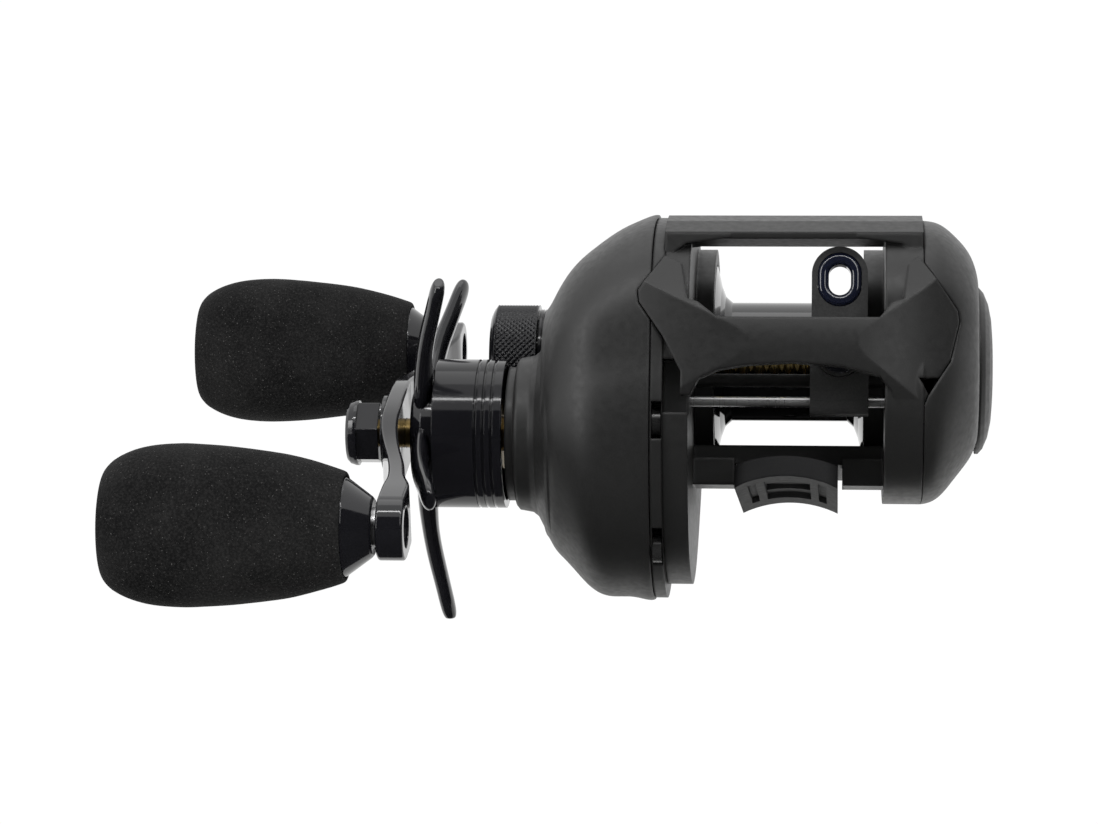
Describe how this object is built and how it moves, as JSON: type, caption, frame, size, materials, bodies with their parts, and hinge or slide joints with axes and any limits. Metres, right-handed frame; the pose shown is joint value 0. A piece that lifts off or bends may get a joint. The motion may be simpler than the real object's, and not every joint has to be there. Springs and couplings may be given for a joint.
{
  "type": "baitcasting reel",
  "caption": "Low-profile baitcasting reel with level wind, star drag, twin foam knobs on a cranked handle and a curved reel foot.",
  "frame": {"origin": "middle of the reel foot, on the line where its concave underside meets the rod's seat", "axes": "+X along the spool axle towards the palm side, -X towards the handle; -Y towards the rod tip; +Z away from the rod"},
  "size_m": [0.146, 0.1, 0.0717],
  "materials": {
    "body_black": "satin soft-touch coating",
    "dark_polymer": "matte",
    "gloss_black_metal": "gloss black anodised",
    "spool_black": "polished black anodised",
    "foam": "ground EVA foam",
    "guide_ceramic": "polished ceramic",
    "steel": "ground",
    "bright_rod": "polished",
    "brass": "machined",
    "aluminium": "machined"
  },
  "bodies": {
    "reel_frame": {"frame": "body_black", "reel_foot": "body_black", "foot_screws": "steel", "gear_side_plate": "body_black", "gear_cover": "body_black", "cover_screws": "steel", "ball_bearings": "steel", "pinion_bearing": "steel", "anti_reverse_bearing": "steel", "yoke_posts": "steel", "yoke_springs": "steel", "tension_boss": "gloss_black_metal", "worm_guard": "body_black", "worm_bushings": "dark_polymer", "guide_rod": "bright_rod"},
    "palm_side": {"palm_cover": "body_black", "brake_plate": "aluminium", "palm_bearing": "steel", "brake_magnets": "steel"},
    "brake_dial": {"brake_dial": "body_black"},
    "spool": {"spool": "spool_black", "spool_shaft": "steel", "spool_shaft_pin": "steel", "brake_rotor": "aluminium"},
    "handle": {"drive_shaft": "brass", "drive_gear": "brass", "drag_washers": "dark_polymer", "key_washer": "steel", "cog_gear": "brass", "ratchet": "steel", "roller_sleeve": "steel", "star_spring_washers": "brass", "handle_arm": "gloss_black_metal", "handle_nut": "gloss_black_metal", "nut_retainer": "gloss_black_metal", "retainer_screw": "steel", "knob_near_spindle": "steel", "knob_far_spindle": "steel"},
    "star_drag": {"star_drag": "gloss_black_metal", "drag_barrel": "gloss_black_metal"},
    "knob_near": {"knob_near_bush": "steel", "knob_near_collar": "gloss_black_metal", "knob_near_grip": "foam", "knob_near_end_cap": "gloss_black_metal"},
    "knob_far": {"knob_far_bush": "steel", "knob_far_collar": "gloss_black_metal", "knob_far_grip": "foam", "knob_far_end_cap": "gloss_black_metal"},
    "thumb_bar": {"thumb_bar": "body_black"},
    "clutch_cam": {"clutch_cam": "dark_polymer"},
    "yoke": {"yoke": "dark_polymer"},
    "pinion": {"pinion": "brass"},
    "worm": {"worm_shaft": "brass", "worm_gear": "dark_polymer"},
    "line_guide": {"line_guide": "body_black", "guide_ring": "guide_ceramic", "pawl": "steel", "pawl_cap": "gloss_black_metal"},
    "tension_cap": {"tension_cap": "gloss_black_metal", "tension_shim": "dark_polymer"}
  },
  "joints": [
    {"name": "handle_turn", "type": "hinge", "parent": "reel_frame", "child": "handle", "pos_m": [0, -0.0115, 0.00845], "axis": [1, 0, 0], "continuous": true},
    {"name": "star_drag_turn", "type": "hinge", "parent": "handle", "child": "star_drag", "pos_m": [0, -0.0115, 0.00845], "axis": [1, 0, 0], "range_deg": [-90, 270]},
    {"name": "near_knob_spin", "type": "hinge", "parent": "handle", "child": "knob_near", "pos_m": [0, -0.05105, -0.01084], "axis": [1, 0, 0], "continuous": true},
    {"name": "far_knob_spin", "type": "hinge", "parent": "handle", "child": "knob_far", "pos_m": [0, 0.02805, 0.02774], "axis": [1, 0, 0], "continuous": true},
    {"name": "spool_spin", "type": "hinge", "parent": "reel_frame", "child": "spool", "pos_m": [0, 0.007, 0.0235], "axis": [1, 0, 0], "continuous": true},
    {"name": "thumb_bar_press", "type": "slide", "parent": "reel_frame", "child": "thumb_bar", "axis": [0, 0, -1], "range_m": [0, 0.0035]},
    {"name": "clutch_cam_turn", "type": "hinge", "parent": "reel_frame", "child": "clutch_cam", "pos_m": [0, 0.007, 0.0235], "axis": [1, 0, 0], "range_deg": [-10.8, 0]},
    {"name": "yoke_lift", "type": "slide", "parent": "reel_frame", "child": "yoke", "axis": [-1, 0, 0], "range_m": [0, 0.00141], "deforming": ["yoke_springs"]},
    {"name": "pinion_spin", "type": "hinge", "parent": "yoke", "child": "pinion", "pos_m": [0, 0.007, 0.0235], "axis": [1, 0, 0], "continuous": true},
    {"name": "worm_spin", "type": "hinge", "parent": "reel_frame", "child": "worm", "pos_m": [0, -0.02109, 0.0205], "axis": [1, 0, 0], "continuous": true},
    {"name": "line_guide_travel", "type": "slide", "parent": "reel_frame", "child": "line_guide", "axis": [1, 0, 0], "range_m": [-0.0196, 0.0024]},
    {"name": "tension_cap_turn", "type": "hinge", "parent": "reel_frame", "child": "tension_cap", "pos_m": [0, 0.007, 0.0235], "axis": [1, 0, 0], "range_deg": [-180, 360]},
    {"name": "palm_side_off", "type": "slide", "parent": "reel_frame", "child": "palm_side", "axis": [1, 0, 0], "range_m": [0, 0.03]},
    {"name": "brake_dial_turn", "type": "hinge", "parent": "palm_side", "child": "brake_dial", "pos_m": [0.0335, -0.0005, 0.0212], "axis": [1, 0, 0], "range_deg": [0, 270]}
  ],
  "couplings": [
    {"joint": "spool_spin", "follows": "handle_turn", "ratio": -7.2},
    {"joint": "pinion_spin", "follows": "handle_turn", "ratio": -7.2},
    {"joint": "worm_spin", "follows": "handle_turn", "ratio": -1.8},
    {"joint": "clutch_cam_turn", "follows": "thumb_bar_press", "rad_per_m": -52.632},
    {"joint": "yoke_lift", "follows": "thumb_bar_press", "ratio": 0.4}
  ]
}
